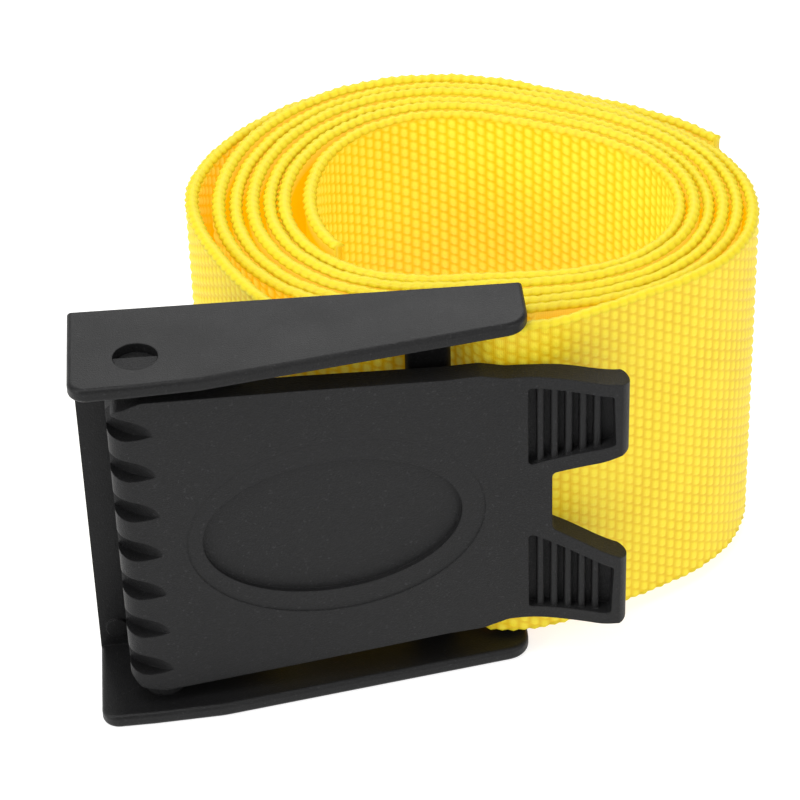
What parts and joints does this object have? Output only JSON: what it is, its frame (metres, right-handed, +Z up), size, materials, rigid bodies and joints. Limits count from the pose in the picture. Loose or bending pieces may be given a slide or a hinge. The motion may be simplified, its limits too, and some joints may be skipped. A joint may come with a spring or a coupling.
{
  "type": "dive weight belt",
  "caption": "Coiled webbing weight belt for diving with a moulded quick-release cam buckle; its lever swings open on side pins to free the strap.",
  "frame": {"origin": "middle of the footprint, on the surface that the buckle's lower flange stands on", "axes": "+X along the buckle from its hinge end to the lever's tail, +Y from the lever's face into the coil, +Z up across the webbing's width"},
  "size_m": [0.0908, 0.0758, 0.0548],
  "materials": {
    "frame_plastic": "fine satin grain",
    "lever_plastic": "fine matt grain",
    "webbing": "woven, matt"
  },
  "bodies": {
    "belt": {"buckle_frame": "frame_plastic", "webbing_strap": "webbing"},
    "lever": {"cam_lever": "lever_plastic"}
  },
  "joints": [
    {"name": "lever_hinge", "type": "hinge", "parent": "belt", "child": "lever", "pos_m": [-0.03696, -0.0315, 0.0274], "axis": [0, 0, -1], "range_deg": [0, 105]}
  ]
}
